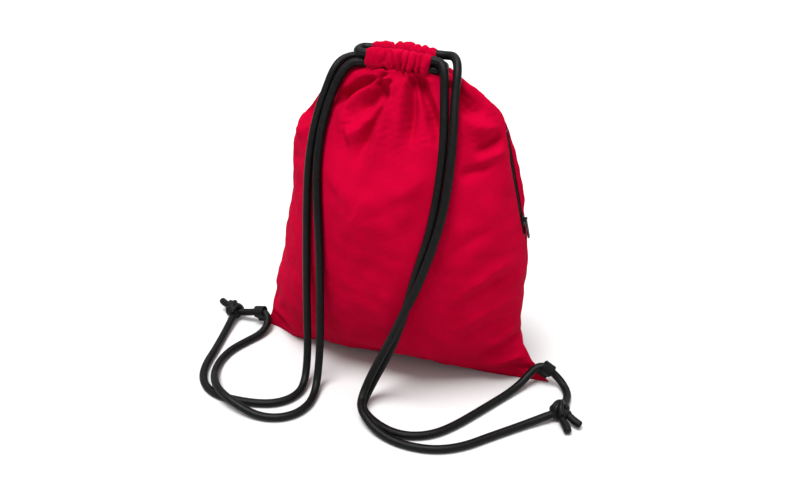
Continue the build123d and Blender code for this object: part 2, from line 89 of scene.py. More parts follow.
def carried_frames(p):
    """Tangents, and two normals carried along the line without twist."""
    t = unit(np.gradient(p, axis=0))
    for _ in range(3):
        t[1:-1] = unit(t[:-2] + t[1:-1] * 2 + t[2:])
    n = np.zeros_like(p)
    seed = np.array([0.0, 0.0, 1.0]) if abs(t[0, 2]) < 0.9 else np.array([1.0, 0.0, 0.0])
    cur = unit(seed - t[0] * seed.dot(t[0]))
    for k in range(len(p)):
        cur = cur - t[k] * cur.dot(t[k])
        cur = cur / np.linalg.norm(cur)
        n[k] = cur
    return t, n, np.cross(t, n)


def frac(x):
    return x - np.floor(x)


def braid_height(theta, s, carriers, lead):
    """0 to 1 relief of a two over, two under tubular braid."""
    a = carriers * (theta / (2 * math.pi) + s / lead)
    b = carriers * (theta / (2 * math.pi) - s / lead)
    ra = np.sqrt(np.clip(1.0 - (2 * frac(a) - 1) ** 2, 0, 1))
    rb = np.sqrt(np.clip(1.0 - (2 * frac(b) - 1) ** 2, 0, 1))
    qa = np.mod(b + np.floor(a), 4.0)
    qb = np.mod(a + np.floor(b), 4.0)
    ha = ra * (0.55 + 0.45 * np.sin(math.pi * qa / 2))
    hb = rb * (0.55 - 0.45 * np.sin(math.pi * qb / 2))
    return np.maximum(ha, hb)


def braided(name, points, radius, material, carriers=12, lead=30.0, sides=44, step=0.55,
            squeeze=None, round_start=False, round_end=False, phase=0.0):
    """A braided rope along points in mm: real relief in the mesh."""
    p, s = resample(points, step)
    t, n, b = carried_frames(p)
    th = np.linspace(0, 2 * math.pi, sides, endpoint=False)
    S, T = np.meshgrid(s, th, indexing="ij")
    r = radius * (0.885 + 0.13 * braid_height(T + phase, S, carriers, lead))
    if squeeze is not None:
        r = r * squeeze(S / s[-1])
    cap = min(radius * 0.55, s[-1] * 0.2)
    if round_start:
        k = np.clip(S / cap, 0, 1)
        r = r * np.sqrt(np.clip(1 - 0.62 * (1 - k) ** 2.4, 0, 1))
    if round_end:
        k = np.clip((s[-1] - S) / cap, 0, 1)
        r = r * np.sqrt(np.clip(1 - 0.62 * (1 - k) ** 2.4, 0, 1))
    v = p[:, None, :] + r[..., None] * (np.cos(T)[..., None] * n[:, None, :] + np.sin(T)[..., None] * b[:, None, :])
    rows = len(p)
    v = v.reshape(-1, 3)
    i = np.arange(rows - 1)[:, None] * sides
    j = np.arange(sides)[None, :]
    j2 = (j + 1) % sides
    quads = np.stack([i + j, i + j2, i + sides + j2, i + sides + j], -1).reshape(-1, 4)
    verts = np.vstack([v, p[0][None], p[-1][None]])
    c0, c1 = len(v), len(v) + 1
    last = (rows - 1) * sides
    faces = quads.tolist()
    faces += [[c0, (k + 1) % sides, k] for k in range(sides)]
    faces += [[c1, last + k, last + (k + 1) % sides] for k in range(sides)]
    return add_mesh(name, verts, faces, material)


def plain_tube(points, radius, sides=8, step=None):
    """Verts and faces of a thin round wire or thread, ends closed."""
    p = np.asarray(points, float)
    if step:
        p, _ = resample(p, step)
    t, n, b = carried_frames(p)
    th = np.linspace(0, 2 * math.pi, sides, endpoint=False)
    v = p[:, None, :] + radius * (np.cos(th)[None, :, None] * n[:, None, :] + np.sin(th)[None, :, None] * b[:, None, :])
    rows = len(p)
    v = v.reshape(-1, 3)
    faces = []
    for i in range(rows - 1):
        for j in range(sides):
            k = (j + 1) % sides
            faces.append([i * sides + j, i * sides + k, (i + 1) * sides + k, (i + 1) * sides + j])
    faces.append(list(range(sides))[::-1])
    faces.append([(rows - 1) * sides + j for j in range(sides)])
    return v, faces


def merged(parts):
    verts, faces, base = [], [], 0
    for v, f in parts:
        verts.append(np.asarray(v))
        faces += [[i + base for i in q] for q in f]
        base += len(v)
    return np.vstack(verts), faces


def spline_points(name, route):
    """Points of the NURBS spline that has the route as its control points, in mm."""
    cu = bpy.data.curves.new(name + "_line", "CURVE")
    cu.dimensions = "3D"
    cu.resolution_u = 12
    sp = cu.splines.new("NURBS")
    sp.points.add(len(route) - 1)
    for q, at in zip(sp.points, route):
        q.co = (at[0] * MM, at[1] * MM, at[2] * MM, 1.0)
    sp.order_u = 3
    sp.use_endpoint_u = True
    ob = bpy.data.objects.new(name + "_line", cu)
    scene.collection.objects.link(ob)
    bpy.context.view_layer.update()
    me = bpy.data.meshes.new_from_object(ob)
    pts = [tuple(c / MM for c in v.co) for v in me.vertices]
    bpy.data.meshes.remove(me)
    bpy.data.objects.remove(ob)
    bpy.data.curves.remove(cu)
    return pts


# ---------------------------------------------------------------- materials
def material(name, color, rough, sheen=0.0, sheen_rough=0.5, sheen_tint=(1, 1, 1, 1), spec=0.5, coat=0.0):
    m = bpy.data.materials.new(name)
    m.use_nodes = True
    m.diffuse_color = (*color, 1.0)
    p = m.node_tree.nodes["Principled BSDF"]
    p.inputs["Base Color"].default_value = (*color, 1.0)
    p.inputs["Roughness"].default_value = rough
    p.inputs["Sheen Weight"].default_value = sheen
    p.inputs["Sheen Roughness"].default_value = sheen_rough
    p.inputs["Sheen Tint"].default_value = sheen_tint
    p.inputs["Specular IOR Level"].default_value = spec
    p.inputs["Coat Weight"].default_value = coat
    return m, m.node_tree, p


def node(tree, kind, **values):
    n = tree.nodes.new(kind)
    for k, v in values.items():
        if k in n.inputs.keys():
            n.inputs[k].default_value = v
        else:
            setattr(n, k, v)
    return n


def varied(tree, shader, coords, low, high, scale, detail=4.0):
    """Base colour that wanders between two close shades."""
    noise = node(tree, "ShaderNodeTexNoise", Scale=scale, Detail=detail)
    ramp = node(tree, "ShaderNodeValToRGB")
    ramp.color_ramp.elements[0].position = 0.34
    ramp.color_ramp.elements[1].position = 0.66
    ramp.color_ramp.elements[0].color = (*low, 1)
    ramp.color_ramp.elements[1].color = (*high, 1)
    tree.links.new(coords, noise.inputs["Vector"])
    tree.links.new(noise.outputs["Fac"], ramp.inputs["Fac"])
    tree.links.new(ramp.outputs["Color"], shader.inputs["Base Color"])
    return ramp


def weave(tree, coords, pitch, uv=True):
    """Plain weave height from two coordinates in metres."""
    sep = node(tree, "ShaderNodeSeparateXYZ")
    tree.links.new(coords, sep.inputs[0])
    waves = []
    for out in ("X", "Y" if uv else "Z"):
        k = node(tree, "ShaderNodeMath", operation="MULTIPLY")
        k.inputs[1].default_value = math.pi / pitch
        sn = node(tree, "ShaderNodeMath", operation="SINE")
        tree.links.new(sep.outputs[out], k.inputs[0])
        tree.links.new(k.outputs[0], sn.inputs[0])
        waves.append(sn)
    mul = node(tree, "ShaderNodeMath", operation="MULTIPLY")
    tree.links.new(waves[0].outputs[0], mul.inputs[0])
    tree.links.new(waves[1].outputs[0], mul.inputs[1])
    return mul.outputs[0]


def bumped(tree, shader, heights, strengths, distance):
    last = None
    for h, s in zip(heights, strengths):
        b = node(tree, "ShaderNodeBump", Strength=s, Distance=distance)
        tree.links.new(h, b.inputs["Height"])
        if last is not None:
            tree.links.new(last, b.inputs["Normal"])
        last = b.outputs["Normal"]
    tree.links.new(last, shader.inputs["Normal"])


def cloth_material(name, low, high, pitch, uv, sheen=0.12):
    m, tree, p = material(name, high, 0.88, sheen=sheen, sheen_rough=0.45, sheen_tint=(1.0, 0.02, 0.16, 1), spec=0.02)
    tc = node(tree, "ShaderNodeTexCoord")
    coords = tc.outputs["UV"] if uv else tc.outputs["Object"]
    varied(tree, p, tc.outputs["Object"], low, high, 34.0, 6.0)
    slub = node(tree, "ShaderNodeTexNoise", Scale=1500.0, Detail=3.0)
    stretch = node(tree, "ShaderNodeMapping")
    stretch.inputs["Scale"].default_value = (1.0, 0.14, 1.0)
    tree.links.new(coords, stretch.inputs["Vector"])
    tree.links.new(stretch.outputs["Vector"], slub.inputs["Vector"])
    soft = node(tree, "ShaderNodeTexNoise", Scale=120.0, Detail=5.0)
    tree.links.new(tc.outputs["Object"], soft.inputs["Vector"])
    bumped(tree, p, [weave(tree, coords, pitch, uv), slub.outputs["Fac"], soft.outputs["Fac"]], [0.30, 0.22, 0.16], 0.0006)
    return m


cotton = cloth_material("cotton", (0.355, 0.0000, 0.0185), (0.405, 0.0000, 0.0220), 0.00075, True, sheen=0.03)
lining = cloth_material("lining", (0.34, 0.0000, 0.018), (0.39, 0.0000, 0.021), 0.0006, False)


def dark_textile(name, low, high, rough, fibre, strength, sheen):
    m, tree, p = material(name, high, rough, sheen=sheen, sheen_rough=0.35, sheen_tint=(0.75, 0.8, 0.8, 1), spec=0.11)
    tc = node(tree, "ShaderNodeTexCoord")
    varied(tree, p, tc.outputs["Object"], low, high, 260.0, 4.0)
    fib = node(tree, "ShaderNodeTexNoise", Scale=fibre, Detail=4.0)
    tree.links.new(tc.outputs["Object"], fib.inputs["Vector"])
    bumped(tree, p, [fib.outputs["Fac"]], [strength], 0.0004)
    return m


cord_mat = dark_textile("cord", (0.0022, 0.0023, 0.0024), (0.0048, 0.0050, 0.0051), 0.40, 2600.0, 0.30, 0.010)
web_mat = dark_textile("webbing", (0.0024, 0.0024, 0.0025), (0.0050, 0.0050, 0.0052), 0.50, 2200.0, 0.30, 0.012)
tape_mat = dark_textile("zip_tape", (0.0024, 0.0022, 0.0022), (0.0048, 0.0044, 0.0044), 0.70, 3000.0, 0.35, 0.01)
thread_red, _, _ = material("red_thread", (0.36, 0.0002, 0.022), 0.6, sheen=0.05, spec=0.1)
thread_black = dark_textile("black_thread", (0.008, 0.008, 0.008), (0.014, 0.014, 0.014), 0.5, 3000.0, 0.2, 0.1)
coil_mat = dark_textile("zip_coil", (0.003, 0.003, 0.0032), (0.006, 0.006, 0.0063), 0.32, 900.0, 0.08, 0.0)


def enamel():
    m, tree, p = material("zip_metal", (0.005, 0.005, 0.0055), 0.45, spec=0.12, coat=0.0)
    tc = node(tree, "ShaderNodeTexCoord")
    noise = node(tree, "ShaderNodeTexNoise", Scale=700.0, Detail=3.0)
    ramp = node(tree, "ShaderNodeMapRange")
    ramp.inputs["To Min"].default_value = 0.38
    ramp.inputs["To Max"].default_value = 0.55
    tree.links.new(tc.outputs["Object"], noise.inputs["Vector"])
    tree.links.new(noise.outputs["Fac"], ramp.inputs["Value"])
    tree.links.new(ramp.outputs["Result"], p.inputs["Roughness"])
    varied(tree, p, tc.outputs["Object"], (0.004, 0.004, 0.0043), (0.007, 0.007, 0.0074), 400.0)
    bumped(tree, p, [noise.outputs["Fac"]], [0.06], 0.0003)
    return m


metal = enamel()

# -------------------------------------------------------------------- cords
cord_d = 8.5
routes = {
    "left_cord_outer_strand": [
        (-34.0, 9.2, 340.4), (-45.0, 9.2, 340.4), (-54.5, 5.6, 339.8), (-62.0, -3.4, 337.2), (-66.4, -12.6, 328.4),
        (-70.4, -18.6, 314.6), (-74.4, -28.2, 298.6), (-76.8, -41.6, 276.0), (-78.2, -52.8, 247.0),
        (-78.4, -60.2, 213.0), (-77.6, -66.6, 181.0), (-77.8, -70.4, 148.0), (-78.6, -72.2, 116.0),
        (-79.4, -73.2, 86.0), (-79.4, -74.8, 58.0), (-78.8, -79.0, 34.0), (-77.4, -87.0, 16.5), (-75.6, -98.0, 7.0),
        (-75.0, -110.5, 4.4), (-79.6, -125.0, 4.4), (-91.5, -136.8, 4.4), (-110.0, -143.5, 4.4),
        (-133.0, -146.0, 4.4), (-155.0, -145.5, 4.4), (-174.0, -137.0, 4.4), (-187.5, -120.5, 4.4),
        (-194.5, -99.0, 4.4), (-197.5, -75.0, 4.4), (-202.0, -50.0, 4.4), (-205.5, -29.0, 5.8), (-207.5, -13.0, 8.8)],
    "left_cord_inner_strand": [
        (-34.0, -9.2, 340.4), (-43.0, -9.2, 340.4), (-50.6, -12.4, 336.2), (-56.4, -18.0, 327.8),
        (-61.4, -23.6, 314.2), (-65.4, -32.0, 297.4), (-67.8, -44.4, 275.6), (-68.0, -56.2, 246.4),
        (-65.0, -65.6, 215.0), (-61.6, -72.8, 184.0), (-60.2, -76.8, 150.0), (-60.6, -78.4, 116.0),
        (-61.6, -79.2, 85.0), (-62.2, -80.8, 57.0), (-62.6, -84.8, 33.0), (-61.8, -92.4, 16.0), (-59.8, -103.0, 7.0),
        (-57.8, -115.5, 4.4), (-57.8, -130.0, 4.4), (-64.0, -146.0, 4.4), (-78.5, -157.6, 4.4), (-98.0, -161.8, 4.8),
        (-118.0, -160.2, 9.0), (-135.5, -156.0, 13.8), (-152.0, -147.0, 14.2), (-166.0, -131.0, 11.2),
        (-177.0, -112.0, 5.6), (-182.6, -90.0, 4.4), (-180.5, -67.0, 4.4), (-171.5, -47.0, 4.4), (-163.5, -31.5, 4.9),
        (-160.8, -20.0, 7.6), (-161.8, -11.5, 11.8), (-165.6, -5.6, 15.4), (-171.6, -2.8, 16.9), (-180.0, -2.6, 15.2),
        (-190.0, -3.0, 12.2), (-200.5, -3.2, 10.4)],
    "right_cord_inner_strand": [
        (34.0, -9.2, 349.8), (41.0, -9.2, 349.8), (46.8, -13.6, 346.6), (50.0, -19.2, 338.0), (51.8, -25.4, 322.0),
        (55.8, -36.8, 301.4), (58.7, -48.2, 275.3), (59.0, -60.0, 247.6), (57.2, -68.4, 218.0), (52.8, -75.8, 191.0),
        (45.2, -80.0, 163.0), (38.6, -81.4, 135.0), (30.8, -82.0, 102.0), (21.6, -82.8, 71.0), (12.4, -84.6, 48.0),
        (4.0, -87.6, 28.5), (-2.0, -93.0, 13.5), (-4.6, -102.0, 5.6), (-2.2, -113.0, 4.4), (7.0, -122.6, 4.4),
        (21.0, -131.8, 4.4), (39.4, -138.6, 4.4), (60.0, -138.0, 4.4), (80.0, -127.4, 4.4), (95.6, -108.6, 4.4),
        (109.6, -85.0, 4.4), (123.4, -60.6, 4.4), (135.8, -38.6, 4.7), (144.8, -23.4, 8.8), (151.2, -13.0, 15.6),
        (157.4, -6.4, 21.6), (164.6, -3.6, 22.8), (173.6, -3.1, 17.2), (182.6, -4.8, 10.8), (190.0, -10.6, 6.4),
        (195.2, -21.0, 5.2), (196.2, -33.5, 6.0), (194.8, -45.0, 8.6)],
    "right_cord_outer_strand": [
        (34.0, 9.2, 349.8), (42.5, 9.2, 349.8), (51.0, 5.2, 351.6), (57.4, -3.4, 348.6), (60.4, -13.0, 339.0),
        (61.4, -21.6, 324.0), (64.2, -33.2, 306.0), (67.4, -47.4, 280.2), (68.6, -60.4, 252.4), (66.8, -70.0, 223.0),
        (61.6, -78.6, 195.0), (54.6, -84.6, 169.0), (45.6, -88.8, 141.0), (36.0, -91.0, 119.0), (25.4, -91.6, 92.0),
        (14.2, -92.4, 66.0), (4.4, -95.0, 43.4), (-2.2, -101.0, 25.2), (-3.8, -111.4, 14.8), (-0.2, -122.4, 13.2),
        (7.8, -132.4, 11.4), (23.4, -143.2, 7.2), (43.4, -150.2, 4.4), (66.0, -152.4, 4.4), (90.0, -148.4, 4.4),
        (113.0, -135.2, 4.4), (134.0, -112.4, 4.4), (153.6, -92.0, 4.4), (170.6, -75.4, 5.6), (183.0, -65.4, 8.4)],
}
strands = {}
for k, (name, route) in enumerate(routes.items()):
    line = spline_points(name, route)
    ob = braided(name.replace("_strand", "_rope"), line, cord_d / 2, cord_mat, phase=0.7 * k)
    length = float(np.linalg.norm(np.diff(np.array(line), axis=0), axis=1).sum()) * MM
    strands[name] = (ob, [[c * MM for c in q] for q in line], length, [c * MM for c in route[0]])
    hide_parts(name)
    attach(ob, "bag")

for name, sign, z in (("left_cord_in_casing", -1, 340.4), ("right_cord_in_casing", 1, 349.8)):
    held = [(sign * 34.0, -9.2, z), (sign * 8.0, -9.2, z), (-sign * 22.0, -9.2, z), (-sign * 34.0, -9.2, z),
            (-sign * 42.0, -7.6, z), (-sign * 43.5, 0.0, z), (-sign * 42.0, 7.6, z), (-sign * 34.0, 9.2, z),
            (-sign * 22.0, 9.2, z), (sign * 8.0, 9.2, z), (sign * 34.0, 9.2, z)]
    ob = braided(name + "_rope", spline_points(name, held), cord_d / 2 - 0.05, cord_mat, step=0.9, sides=32)
    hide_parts(name)
    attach(ob, "bag")


# -------------------------------------------------------------------- knots
def knot(name, centre, axis, strand_dirs):
    """A pulled-down overhand knot: a doubled core, two wraps round it and a tuck across them."""
    a = unit(axis)
    up = np.array([0.0, 0.0, 1.0])
    side = unit(np.cross(up, a))
    c = np.asarray(centre, float)
    parts = []

    def rope(points, r, ph):
        ob = braided(name + "_strand_%d" % len(parts), points, r, cord_mat, carriers=12, lead=24.0, sides=32,
                     step=0.5, round_start=True, round_end=True, phase=ph)
        parts.append(ob)

    def at(along, ang, rad_s, rad_u):
        return c + a * along + side * (rad_s * math.cos(ang)) + up * (rad_u * math.sin(ang))

    # the core, two strands gripped side by side
    rope([at(-10.5 + 2.1 * k, 0.0, 2.6 + 0.5 * math.sin(k * 0.9), 0) for k in range(11)], 4.0, 0.2)
    rope([at(-10.5 + 2.1 * k, math.pi, 2.6 + 0.5 * math.cos(k * 0.9), 0) for k in range(11)], 4.0, 1.1)
    # two wraps, the second leaning over the first
    rope([at(-6.4 + 8.2 * f + 0.9 * math.sin(f * 9.0), 0.6 + f * 2 * math.pi * 2.05, 7.1, 6.5)
          for f in np.linspace(0, 1, 60)], 3.35, 0.5)
    # the tuck that crosses the wraps on the upper side
    rope([at(-8.6 + 17.0 * f, 0.35 + 2.3 * f, 8.6 - 1.6 * math.cos(f * 2 * math.pi), 8.0 - 1.3 * math.cos(f * 2 * math.pi))
          for f in np.linspace(0, 1, 30)], 2.9, 0.9)
    # leads that take the strands and tails into the knot
    for tip, r in strand_dirs:
        tip = np.asarray(tip, float)
        mid = c + (tip - c) * 0.5
        rope([c + (tip - c) * 0.15, mid, tip], r, 0.3)
    base = parts[0]
    with bpy.context.temp_override(active_object=base, selected_editable_objects=parts, selected_objects=parts):
        bpy.ops.object.join()
    base.name = name + "_tied"
    return base


left_c, right_c = (-211.0, -2.4, 10.8), (194.0, -57.0, 10.8)
left_tie = knot("left_knot", left_c, (-0.87, 0.5, 0.0),
                [((-206.9, -15.6, 8.1), 4.05), ((-197.8, -3.3, 11.1), 4.05), ((-221.0, 2.3, 12.6), 4.0), ((-217.5, 10.3, 5.8), 4.0)])
right_tie = knot("right_knot", right_c, (0.83, -0.55, 0.0),
                 [((195.1, -42.4, 8.0), 4.05), ((180.8, -67.0, 7.9), 4.05), ((199.6, -68.4, 7.2), 4.0), ((205.0, -60.0, 9.0), 4.0)])


def tails(name, ends):
    obs = []
    for k, (start, end) in enumerate(ends):
        s, e = np.array(start), np.array(end)
        bend = np.cross(e - s, (0, 0, 1.0)) * (0.05 if k else -0.05)
        pts = [s + (e - s) * f + bend * math.sin(f * math.pi) for f in np.linspace(0, 1, 8)]
        obs.append(braided(name + "_%d" % k, pts, cord_d / 2 * 0.96, cord_mat, round_end=True, step=0.5, phase=k,
                           squeeze=lambda f: 0.93 + 0.09 * np.sin(f * 2.6)))
    with bpy.context.temp_override(active_object=obs[0], selected_editable_objects=obs, selected_objects=obs):
        bpy.ops.object.join()
    obs[0].name = name + "_cut"
    return obs[0]


left_tails = tails("left_tails", [((-219.5, 1.5, 12.6), (-234.0, 9.0, 12.6)), ((-216.0, 9.4, 5.6), (-229.5, 17.5, 5.0))])
right_tails = tails("right_tails", [((198.5, -66.6, 7.4), (207.0, -80.0, 5.2)), ((203.0, -59.0, 9.4), (217.5, -66.0, 5.4))])
for ob, n in ((left_tie, "left_knot"), (right_tie, "right_knot"), (left_tails, "left_cord_tails"), (right_tails, "right_cord_tails")):
    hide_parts(n)
    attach(ob, "bag")

# ------------------------------------------------------------- bag surfaces
# height, left and right half width, depth towards -Y and +Y, two exponents
levels = np.array([
    (0.0, 174.0, 171.0, 12.0, 24.0, 2.00, 1.40),
    (14.0, 163.3, 158.9, 34.0, 46.0, 2.10, 1.10),
    (32.0, 158.1, 146.0, 50.0, 62.0, 2.10, 0.80),
    (60.0, 152.0, 135.5, 66.0, 76.0, 2.20, 0.60),
    (100.0, 139.5, 135.0, 76.0, 84.0, 2.20, 0.54),
    (140.0, 131.0, 136.5, 79.0, 86.0, 2.20, 0.52),
    (176.0, 122.8, 133.3, 78.0, 84.0, 2.20, 0.52),
    (200.0, 118.5, 127.9, 75.0, 80.0, 2.20, 0.52),
    (240.0, 116.8, 118.9, 64.0, 68.0, 2.20, 0.54),
    (270.0, 109.1, 112.1, 52.0, 54.0, 2.10, 0.56),
    (288.0, 95.0, 108.0, 44.0, 45.0, 2.10, 0.60),
    (304.0, 84.4, 99.4, 36.0, 36.0, 2.00, 0.64),
    (318.0, 75.6, 81.8, 28.0, 27.0, 2.00, 0.66),
    (328.0, 64.8, 66.0, 21.0, 20.0, 2.00, 0.70),
    (334.2, 48.0, 53.0, 18.0, 17.6, 2.20, 0.60),
    (337.0, 41.0, 45.0, 17.2, 16.8, 2.40, 0.50),
    (338.6, 37.0, 41.0, 14.4, 14.4, 2.40, 0.50)])


def monotone(x, xs, ys):
    """Monotone cubic through a table."""
    h = np.diff(xs)
    d = np.diff(ys) / h
    m = np.zeros_like(ys)
    for k in range(1, len(xs) - 1):
        if d[k - 1] * d[k] > 0:
            w1, w2 = 2 * h[k] + h[k - 1], h[k] + 2 * h[k - 1]
            m[k] = (w1 + w2) / (w1 / d[k - 1] + w2 / d[k])
    m[0], m[-1] = d[0], d[-1]
    i = np.clip(np.searchsorted(xs, x, side="right") - 1, 0, len(xs) - 2)
    t = (x - xs[i]) / h[i]
    return (ys[i] * (1 + 2 * t) * (1 - t) ** 2 + m[i] * h[i] * t * (1 - t) ** 2
            + ys[i + 1] * t * t * (3 - 2 * t) + m[i + 1] * h[i] * t * t * (t - 1))


def step_up(x, a, b):
    t = np.clip((x - a) / (b - a), 0, 1)
    return t * t * (3 - 2 * t)


def stroke(x, z, pts, amp, width, taper=(0.25, 0.25), sharp=1.6, width_end=None):
    """A crease along a line of (x, z) points: amp out of the cloth, in mm."""
    p = np.array(pts, float)
    seg = np.diff(p, axis=0)
    ln = np.linalg.norm(seg, axis=1)
    cum = np.r_[0.0, np.cumsum(ln)]
    best = np.full(x.shape, 1e9)
    along = np.zeros(x.shape)
    for k in range(len(seg)):
        dx, dz = x - p[k, 0], z - p[k, 1]
        f = np.clip((dx * seg[k, 0] + dz * seg[k, 1]) / (ln[k] ** 2), 0, 1)
        d = np.hypot(dx - f * seg[k, 0], dz - f * seg[k, 1])
        near = d < best
        best = np.where(near, d, best)
        along = np.where(near, (cum[k] + f * ln[k]) / cum[-1], along)
    w = width if width_end is None else width + (width_end - width) * along
    a0, a1 = taper
    fade = np.ones(x.shape)
    if a0 > 0:
        fade = fade * step_up(along, -0.02, a0)
    if a1 > 0:
        fade = fade * (1 - step_up(along, 1 - a1, 1.02))
    return amp * fade * np.exp(-(best / w) ** sharp)


def waves(x, z, seed, count, low, high):
    """Smooth seeded unevenness, about -1 to 1; wavelengths in mm."""
    r = np.random.default_rng(seed)
    out = np.zeros(x.shape)
    for _ in range(count):
        lam = r.uniform(low, high)
        ang = r.uniform(0, math.pi)
        out += np.sin(2 * math.pi * (x * math.cos(ang) + z * math.sin(ang)) / lam + r.uniform(0, 6.28))
    return out / math.sqrt(count)


# folds of the strap side: line, height out of the cloth, width at start and end
strap_folds = [
    ([(-5, 337), (-11, 332), (-15, 326), (-11, 320), (-2, 318)], -4.4, 3.4, 3.0, (0.15, 0.35)),
    ([(-2, 334), (-6, 329), (-5, 324), (2, 322), (8, 325)], 3.4, 3.6, 3.6, (0.2, 0.4)),
    ([(-8, 333), (-22, 328), (-38, 319), (-52, 309), (-64, 300)], -8.0, 5.0, 8.0, (0.30, 0.35)),
    ([(-18, 338), (-32, 334), (-42, 329), (-52, 319), (-60, 312)], 5.0, 7.0, 8.0, (0.1, 0.35)),
    ([(-1, 331), (-18, 328), (-35, 316), (-47, 300), (-49, 286), (-42, 276)], 5.0, 6.0, 8.0, (0.1, 0.25)),
    ([(-42, 276), (-28, 283), (-15, 296), (-6, 312), (1, 324)], 3.5, 8.0, 5.0, (0.1, 0.3)),
    ([(-4, 328), (-14, 318), (-21, 309), (-31, 299)], -5.0, 4.5, 8.0, (0.1, 0.4)),
    ([(-1, 332), (-4, 316), (-9, 302), (-17, 287), (-22, 268), (-26, 244)], -4.6, 4.4, 9.0, (0.15, 0.4)),
    ([(3, 332), (2, 312), (-3, 290), (-9, 264), (-12, 240)], 3.2, 5.0, 10.0, (0.1, 0.5)),
    ([(16, 336), (21, 322), (24, 305), (25, 285), (24, 268)], -4.4, 3.6, 7.5, (0.1, 0.5)),
    ([(9, 333), (11, 315), (12, 295), (12, 268)], 4.0, 5.5, 10.0, (0.1, 0.5)),
    ([(22, 338), (31, 324), (41, 309), (50, 290), (54, 270)], -6.4, 4.6, 8.0, (0.05, 0.45)),
    ([(34, 337), (45, 323), (55, 306), (64, 288)], 3.8, 5.5, 9.0, (0.1, 0.45)),
    ([(46, 334), (58, 325), (68, 316), (77, 309), (89, 306)], -6.5, 5.5, 6.5, (0.1, 0.35)),
    ([(50, 337), (60, 333), (76, 321), (91, 307), (99, 295)], 3.0, 6.0, 7.0, (0.1, 0.4)),
    ([(65, 304), (81, 295), (96, 292), (106, 289)], 3.2, 8.0, 7.0, (0.3, 0.35)),
    ([(86, 269), (97, 277), (108, 283)], -3.4, 6.0, 4.5, (0.4, 0.2)),
    ([(70, 251), (86, 255), (105, 260)], -2.8, 5.5, 4.5, (0.35, 0.3)),
    ([(84, 262), (98, 268), (112, 271)], 2.0, 5.0, 5.0, (0.35, 0.3)),
    ([(-38, 242), (-26, 226), (-18, 217), (-8, 224), (6, 240)], 3.0, 12.0, 13.0, (0.4, 0.4)),
    ([(-64, 238), (-50, 226), (-34, 215), (-20, 206)], -1.9, 10.0, 8.0, (0.4, 0.1)),
    ([(-20, 206), (-2, 210), (21, 222), (41, 232), (58, 249)], -1.5, 8.0, 11.0, (0.1, 0.5)),
    ([(-70, 246), (-52, 236), (-38, 226)], 2.2, 8.0, 7.0, (0.3, 0.3)),
    ([(8, 224), (26, 236), (44, 248), (58, 259)], 2.4, 8.0, 8.0, (0.3, 0.3)),
    ([(60, 104), (77, 122), (97, 142), (116, 156), (131, 166)], 1.8, 8.0, 6.0, (0.35, 0.2)),
    ([(72, 104), (92, 124), (110, 137), (132, 146)], -1.8, 7.0, 5.0, (0.35, 0.2)),
    ([(74, 78), (94, 95), (112, 107), (134, 118)], 1.9, 7.0, 5.0, (0.35, 0.2)),
    ([(80, 66), (102, 80), (118, 88), (134, 92)], -1.8, 6.0, 4.5, (0.35, 0.2)),
    ([(52, 160), (74, 178), (96, 194), (116, 204)], -1.4, 8.0, 6.0, (0.35, 0.3)),
    ([(100, 38), (116, 47), (130, 56), (138, 66)], -3.6, 6.0, 4.5, (0.35, 0.25)),
    ([(98, 24), (118, 29), (136, 33), (150, 26)], 3.4, 7.0, 4.0, (0.35, 0.3)),
    ([(108, 54), (122, 64), (132, 78)], 2.4, 5.0, 4.0, (0.3, 0.3)),
    ([(112, 12), (132, 16), (152, 14), (163, 8)], -2.6, 5.0, 3.0, (0.35, 0.3)),
    ([(-160, 22), (-149, 18), (-133, 14), (-116, 12)], -2.8, 4.0, 6.0, (0.2, 0.4)),
    ([(-158, 26), (-142, 30), (-122, 34)], 2.2, 5.0, 8.0, (0.2, 0.4)),
    ([(-155, 38), (-146, 56), (-134, 76)], -2.2, 4.0, 7.0, (0.2, 0.4)),
    ([(-150, 60), (-138, 86), (-128, 110)], 1.8, 5.0, 8.0, (0.3, 0.4)),
    ([(-104, 276), (-90, 288), (-74, 303), (-60, 315)], -5.5, 7.0, 7.0, (0.25, 0.35)),
    ([(-106, 262), (-92, 268), (-80, 282)], 2.4, 6.0, 6.0, (0.2, 0.4)),
    ([(-112, 236), (-98, 240), (-86, 250)], -1.8, 6.0, 6.0, (0.2, 0.4)),
    ([(-60, 40), (-40, 26), (-10, 22), (22, 28)], -1.4, 8.0, 10.0, (0.4, 0.4)),
    ([(-20, 60), (10, 44), (44, 40), (70, 48)], 1.4, 10.0, 12.0, (0.4, 0.4)),
]
broad_bend = [(-84, 262), (-62, 240), (-40, 222), (-19, 207), (4, 214), (30, 228), (62, 248), (90, 262)]
